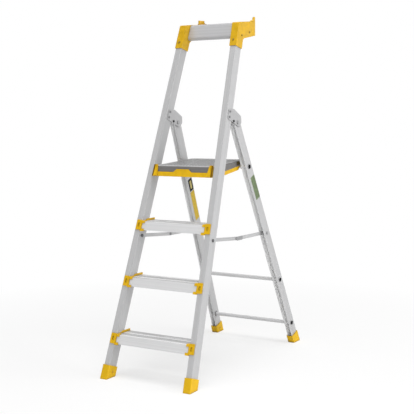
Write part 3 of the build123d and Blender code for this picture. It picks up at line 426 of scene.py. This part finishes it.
# Top corners: the yellow painted darker, painted shade
paint(corner_nodes, moulded("corner_shaded_plastic", CORNER_SHADED_YELLOW, contrast=0.12, mottle=40.0))
paint(slot_nodes["foot"], moulded("yellow_rubber", FOOT_YELLOW, 0.6))
paint(slot_nodes["deck"], deck_plastic("grey_plastic"))
paint(slot_nodes["cover"], moulded("cover_plastic", COVER_GREY, 0.5))
paint(slot_nodes["black"], moulded("black_plastic", BLACK, 0.7, gloss=0.15))
paint(knuckle_nodes, moulded("knuckle_plastic", COVER_GREY, 0.5))
paint(slot_nodes["plate"], plated("zinc_plate", ZINC))
paint(slot_nodes["rivet"], plated("rivet_metal", RIVET_GREY))
paint(slot_nodes["screw"], plated("screw_metal", CORNER_ZINC))
paint(foot_screws, plated("foot_screw_metal", YELLOW_ZINC))
paint(slot_nodes["pin"], plated("pin_metal", PIN_GREY))
paint(["spreader_front_bolts"], plated("bolt_metal", BOLT_GREY))


# Pieces that only the scene has
def place_piece(name, verts, faces, material, body):
    mesh = bpy.data.meshes.new(name)
    mesh.from_pydata(verts, [], faces)
    mesh.materials.append(material)
    piece = bpy.data.objects.new(name, mesh)
    bpy.context.scene.collection.objects.link(piece)
    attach(piece, body)


def ring_faces(rings, count, capped=True):
    """Faces of a body made of rings of vertices, capped at both ends or closed into a loop."""
    faces = []
    if capped:
        faces = [tuple(reversed(range(count))), tuple(range((rings - 1) * count, rings * count))]
    for ring in range(rings - 1 if capped else rings):
        here = ring * count
        there = (ring + 1) % rings * count
        for i in range(count):
            j = (i + 1) % count
            faces.append((here + i, here + j, there + j, there + i))
    return faces


# Blank stickers on the rear legs, in metres
STICKER_FORWARD = -0.0063  # middle of a sticker ahead of the line through the hinge axis
STICKER_CORNER = 0.003
LABEL_WIDTH = 0.035
FILM_SINK = 0.00002
FILM_RIM = 0.0001
FILM_TOP_SHARE = 0.985  # of the outline, inside the softened rim
LABEL_FILM = 0.0004
PANEL_FILM = 0.0007


def rounded_outline(width, height, radius, steps=6):
    """Points of a rounded rectangle round the origin, anticlockwise."""
    points = []
    centres = ((1, 1), (-1, 1), (-1, -1), (1, -1))
    for quarter, (right, top) in enumerate(centres):
        for step in range(steps + 1):
            angle = (quarter + step / steps) * pi / 2
            points.append((
                right * (width / 2 - radius) + radius * cos(angle),
                top * (height / 2 - radius) + radius * sin(angle),
            ))
    return points


def film(name, outline, normal, lift, material, body):
    """Thin plate with a softened rim on a flat face; its outline is anticlockwise seen from outside."""
    middle = sum(outline, Vector()) / len(outline)
    levels = ((-FILM_SINK, 1.0), (lift - FILM_RIM, 1.0), (lift, FILM_TOP_SHARE))
    verts = []
    for level, share in levels:
        verts += [middle + share * (point - middle) + level * normal for point in outline]
    place_piece(name, verts, ring_faces(len(levels), len(outline)), material, body)


def sticker(name, leg, material, drop, length, width=LABEL_WIDTH, lift=LABEL_FILM):
    """Blank film on the face of a leg that looks to +X; drop is its upper end below the hinge axis."""
    up, ahead, out = channel_frame(leg)
    face = channel_reach(leg, out)[1]
    hinge = Vector(next(j for j in frame["joints"] if j["name"] == "rear_fold")["pos_m"])
    centre = hinge - (drop + length / 2) * up + STICKER_FORWARD * ahead
    centre += (face - centre.dot(out)) * out
    across = up.cross(out)
    outline = [centre + x * across + y * up for x, y in rounded_outline(width, length, STICKER_CORNER)]
    film(name, outline, out, lift, material, "rear_frame")


black_film = moulded("sticker_black", BLACK, 0.6, gloss=0.1)
cream_film = moulded("sticker_cream", STICKER_CREAM, 0.5)
yellow_film = moulded("sticker_yellow", STICKER_YELLOW, 0.5, contrast=0.2, mottle=120.0)
green_film = moulded("sticker_green", STICKER_GREEN, 0.5, contrast=0.45, mottle=90.0)
sticker("sticker_frame", "rear_leg_left", black_film, drop=0.310, length=0.064)
sticker("sticker_panel", "rear_leg_left", cream_film, drop=0.321, length=0.042, width=0.015,
        lift=PANEL_FILM)
sticker("sticker_strip", "rear_leg_left", yellow_film, drop=0.378, length=0.156)
sticker("sticker_green", "rear_leg_right", green_film, drop=0.286, length=0.116, width=0.038)


# Heads of the black plugs in the ends of the cross bars, in metres
PLUG_RADIUS = 0.0098
PLUG_HEIGHT = 0.0016
PLUG_PROFILE = (  # shares of the radius and of the height
    (1.0, -0.1),
    (1.0, 0.55),
    (0.93, 0.85),
    (0.75, 1.0),
    (0.40, 1.05),
    (0.36, 0.8),
)
PLUG_FACE_DEPTH = 0.0004  # of the points that count as a plug's outer face
PLUG_GAP = 0.05  # a larger step in height between points begins the next plug


def plug_places():
    """Outer face of each plug: its middle, on the right and on the left, from the lowest bar up."""
    points = points_of("rear_bar_plugs")
    for side in (1, -1):
        own = points[points[:, 0] * side > 0]
        own = own[own[:, 2].argsort()]
        for plug in np.split(own, np.flatnonzero(np.diff(own[:, 2]) > PLUG_GAP) + 1):
            reach = (plug[:, 0] * side).max()
            face = plug[plug[:, 0] * side > reach - PLUG_FACE_DEPTH][:, 1:]
            yield side, Vector((side * reach, *((face.max(axis=0) + face.min(axis=0)) / 2)))


def plug_head(name, middle, side, material, steps=32):
    """Domed disc with a shallow dimple, turned to the side."""
    verts = []
    for across, out in PLUG_PROFILE:
        for step in range(steps):
            angle = 2 * pi * step / steps
            verts.append(middle + Vector((
                side * out * PLUG_HEIGHT,
                across * PLUG_RADIUS * cos(angle) * side,
                across * PLUG_RADIUS * sin(angle),
            )))
    place_piece(name, verts, ring_faces(len(PLUG_PROFILE), steps), material, "rear_frame")


# Black plastic of the plug heads, also used for the rings of painted shadow round the bars
plug_and_shadow_plastic = moulded("plug_and_shadow_plastic", BLACK, 0.7, gloss=0.1)
for number, (side, middle) in enumerate(plug_places(), 1):
    plug_head(f"plug_head_{number}", middle, side, plug_and_shadow_plastic)


# Painted shadow: thin black rings on the inner faces of the legs, round the two rear bars, in metres
SHADOW_RING_BORE = 0.0092
SHADOW_RING_RADIUS = 0.0138
SHADOW_RING_CHAMFER = 0.0005
SHADOW_RING_CLEARANCE = 0.00005
SHADOW_RING_RIM = 0.0004
SHADOW_RING_HEIGHT = 0.0008
SHADOW_RING_PROFILE = (  # radius and height
    (SHADOW_RING_RADIUS, SHADOW_RING_CLEARANCE),
    (SHADOW_RING_RADIUS, SHADOW_RING_RIM),
    (SHADOW_RING_RADIUS - SHADOW_RING_CHAMFER, SHADOW_RING_HEIGHT),
    (SHADOW_RING_BORE, SHADOW_RING_HEIGHT),
    (SHADOW_RING_BORE, SHADOW_RING_CLEARANCE),
)


def bar_shadow_ring(name, bar, leg, side, material, steps=40):
    """Thin black ring on the inner face of a leg, where the bar goes in: painted shadow."""
    up, ahead, out = channel_frame(leg)
    low, high = channel_reach(leg, out)
    face = low if side > 0 else high
    points = points_of(bar)
    y, z = ((points.max(axis=0) + points.min(axis=0)) / 2)[1:].tolist()
    middle = Vector(((face - y * out.y - z * out.z) / out.x, y, z))
    verts = []
    for radius, height in SHADOW_RING_PROFILE:
        for step in range(steps):
            angle = 2 * pi * step / steps
            spoke = side * cos(angle) * ahead + sin(angle) * up
            verts.append(middle - side * height * out + radius * spoke)
    faces = ring_faces(len(SHADOW_RING_PROFILE), steps, capped=False)
    place_piece(name, verts, faces, material, "rear_frame")


for bar in ("upper", "lower"):
    for side, hand in SIDES:
        bar_shadow_ring(f"{bar}_shadow_ring_{hand}", f"rear_bar_{bar}", f"rear_leg_{hand}", side, plug_and_shadow_plastic)


# Painted shade: dark films in the recesses beside the ridges of the platform's ears, in metres and degrees
SKIRT_ORIGIN = Vector((0, -0.534305, 0))
SKIRT_LEAN = radians(19.5)
SKIRT_UP = Vector((0, sin(SKIRT_LEAN), cos(SKIRT_LEAN)))
SKIRT_OUT = Vector((0, -cos(SKIRT_LEAN), sin(SKIRT_LEAN)))
EAR_FOOT = (0.1474, 0.1545)  # inner and outer x
EAR_HEAD = (0.1449, 0.1522)
EAR_FROM_TO = (0.9170, 0.9702)  # foot and head, up the skirt
RECESS_FILM = 0.0003


def ear_recess_shade(name, side, material):
    foot, head = EAR_FROM_TO
    corners = ((EAR_FOOT[0], foot), (EAR_FOOT[1], foot), (EAR_HEAD[1], head), (EAR_HEAD[0], head))
    outline = [SKIRT_ORIGIN + side * x * X_AXIS + up * SKIRT_UP for x, up in corners]
    film(name, outline[::side], SKIRT_OUT, RECESS_FILM, material, "platform")


shaded_recess_film = moulded("shaded_recess_film", EAR_SHADE_YELLOW, 0.6, gloss=0.1)
for side, hand in SIDES:
    ear_recess_shade(f"ear_recess_shade_{hand}", side, shaded_recess_film)


# Painted shade: dark bands on the rear corners of the deck, in metres and degrees
DECK_NOSE = Vector((0.15194, -0.20923))  # half width and y of the front edge
DECK_REAR = Vector((0.13652, 0.09949))  # half width and y of the rear edge
DECK_NOSE_Z = 0.909
DECK_RISE = 0.073435  # of the top, for each metre to the rear
DECK_CORNER_RADIUS = 0.024
WRAP_START = 0.072  # ahead of the rear edge
WRAP_SWEEP = 60.0  # round the corner
WRAP_DROP = (0.0035, 0.0185)  # upper and lower edge below the top
WRAP_LEVELS = (0.00004, 0.0002)  # inner and outer face from the side of the deck


def deck_corner_path(steps=12):
    """Points and outward directions, seen from above, along the right side and round the rear corner."""
    along = (DECK_REAR - DECK_NOSE).normalized()
    out = Vector((along.y, -along.x))

    def side_at(y):
        return DECK_NOSE + along * ((y - DECK_NOSE.y) / along.y)

    centre = side_at(DECK_REAR.y - DECK_CORNER_RADIUS) - Vector((DECK_CORNER_RADIUS / out.x, 0))
    yield side_at(DECK_REAR.y - WRAP_START), out
    for step in range(steps + 1):
        direction = out.copy()
        direction.rotate(Matrix.Rotation(radians(WRAP_SWEEP) * step / steps, 2))
        yield centre + DECK_CORNER_RADIUS * direction, direction


def deck_corner_shade_band(name, side, material):
    """Thin dark band of painted shade along the side of the deck and round its corner, made of four-cornered
    rings.
    """
    upper, lower = WRAP_DROP
    rings = []
    for point, direction in deck_corner_path():
        top = DECK_NOSE_Z + (point.y - DECK_NOSE.y) * DECK_RISE
        inner, outer = (point + level * direction for level in WRAP_LEVELS)
        ring = ((inner, lower), (inner, upper), (outer, upper), (outer, lower))
        rings.append([Vector((side * p.x, p.y, top - drop)) for p, drop in ring[::side]])
    verts = sum(rings, [])
    place_piece(name, verts, ring_faces(len(rings), len(rings[0])), material, "platform")


deck_shade_plastic = moulded("deck_shade_plastic", DECK_SHADE_BROWN, 0.6, gloss=0.1)
for side, hand in SIDES:
    deck_corner_shade_band(f"deck_corner_{hand}", side, deck_shade_plastic)


# Studio, in metres and watts
WORLD_LEVEL = 0.18
FLOOR_HALF = 30.0
FLOOR_WHITENESS = 0.66  # share of plain white that viewers see round the object, the rest keeps its shadow
WHITE_FROM_TO = (0.8, 2.2)  # distance from the middle over which the floor fades to plain white
LAMP_AIM = Vector((0, 0, 0.8))
LAMPS = (  # name, place, diameter, power
    ("key", Vector((2.4, -4.2, 1.5)), 2.0, 80.0),
    ("side", Vector((8.9, 1.5, 3.4)), 7.0, 530.0),
    ("top", Vector((0.6, -0.8, 6.5)), 4.0, 280.0),
)


def white_for_viewers(tree):
    """1 for what the camera, reflections and glass see, 0 for the light that reaches the object."""
    path = tree.nodes.new("ShaderNodeLightPath")
    seen = path.outputs["Is Camera Ray"]
    for ray in ("Is Glossy Ray", "Is Transmission Ray"):
        seen = calculated(tree, "MAXIMUM", seen, path.outputs[ray])
    return seen


def make_world():
    world = bpy.data.worlds.new("studio")
    bpy.context.scene.world = world
    world.use_nodes = True
    tree = world.node_tree
    tree.nodes.clear()
    output = tree.nodes.new("ShaderNodeOutputWorld")
    shades = []
    for strength in (WORLD_LEVEL, 1.0):
        shade = tree.nodes.new("ShaderNodeBackground")
        shade.inputs["Color"].default_value = WHITE
        shade.inputs["Strength"].default_value = strength
        shades.append(shade.outputs[0])
    tree.links.new(mixed_shader(tree, white_for_viewers(tree), *shades), output.inputs["Surface"])


def floor_paper(name):
    """Pale paper that viewers see whitened, more so further from the object."""
    material = bpy.data.materials.new(name)
    material.use_nodes = True
    tree = material.node_tree
    tree.nodes.clear()
    output = tree.nodes.new("ShaderNodeOutputMaterial")
    paper = tree.nodes.new("ShaderNodeBsdfDiffuse")
    paper.inputs["Color"].default_value = FLOOR_PAPER
    white = tree.nodes.new("ShaderNodeEmission")
    white.inputs["Color"].default_value = WHITE
    white.inputs["Strength"].default_value = 1.0
    place = tree.nodes.new("ShaderNodeTexCoord")
    away = tree.nodes.new("ShaderNodeVectorMath")
    away.operation = "LENGTH"
    tree.links.new(place.outputs["Object"], away.inputs[0])
    whiteness = spread(tree, away.outputs["Value"], FLOOR_WHITENESS, 1.0, *WHITE_FROM_TO)
    whitened = mixed_shader(tree, whiteness, paper.outputs[0], white.outputs[0])
    surface = mixed_shader(tree, white_for_viewers(tree), paper.outputs[0], whitened)
    tree.links.new(surface, output.inputs["Surface"])
    return material


def make_floor():
    corners = [(x * FLOOR_HALF, y * FLOOR_HALF, 0) for x, y in ((-1, -1), (1, -1), (1, 1), (-1, 1))]
    mesh = bpy.data.meshes.new("floor")
    mesh.from_pydata(corners, [], [(0, 1, 2, 3)])
    mesh.materials.append(floor_paper("floor_white"))
    floor = bpy.data.objects.new("floor", mesh)
    bpy.context.scene.collection.objects.link(floor)


def make_lamp(name, place, diameter, watts):
    lamp = bpy.data.lights.new(name, "AREA")
    lamp.shape = "DISK"
    lamp.size = diameter
    lamp.energy = watts
    holder = bpy.data.objects.new(name, lamp)
    holder.location = place
    holder.rotation_euler = (LAMP_AIM - place).to_track_quat("-Z", "Y").to_euler()
    bpy.context.scene.collection.objects.link(holder)


def make_camera():
    turn = radians(CAMERA_TURN)
    pitch = radians(CAMERA_PITCH)
    forward = Vector((-sin(turn) * cos(pitch), cos(turn) * cos(pitch), -sin(pitch)))
    data = bpy.data.cameras.new("camera")
    data.lens = LENS_MM
    data.sensor_width = SENSOR_MM
    data.sensor_fit = "HORIZONTAL"
    data.clip_end = CAMERA_SIGHT
    camera = bpy.data.objects.new("camera", data)
    camera.location = CAMERA_TARGET - CAMERA_DISTANCE * forward
    camera.rotation_euler = forward.to_track_quat("-Z", "Y").to_euler()
    bpy.context.scene.collection.objects.link(camera)
    bpy.context.scene.camera = camera


make_world()
make_floor()
for lamp in LAMPS:
    make_lamp(*lamp)
make_camera()
bpy.context.scene.view_settings.view_transform = "Standard"
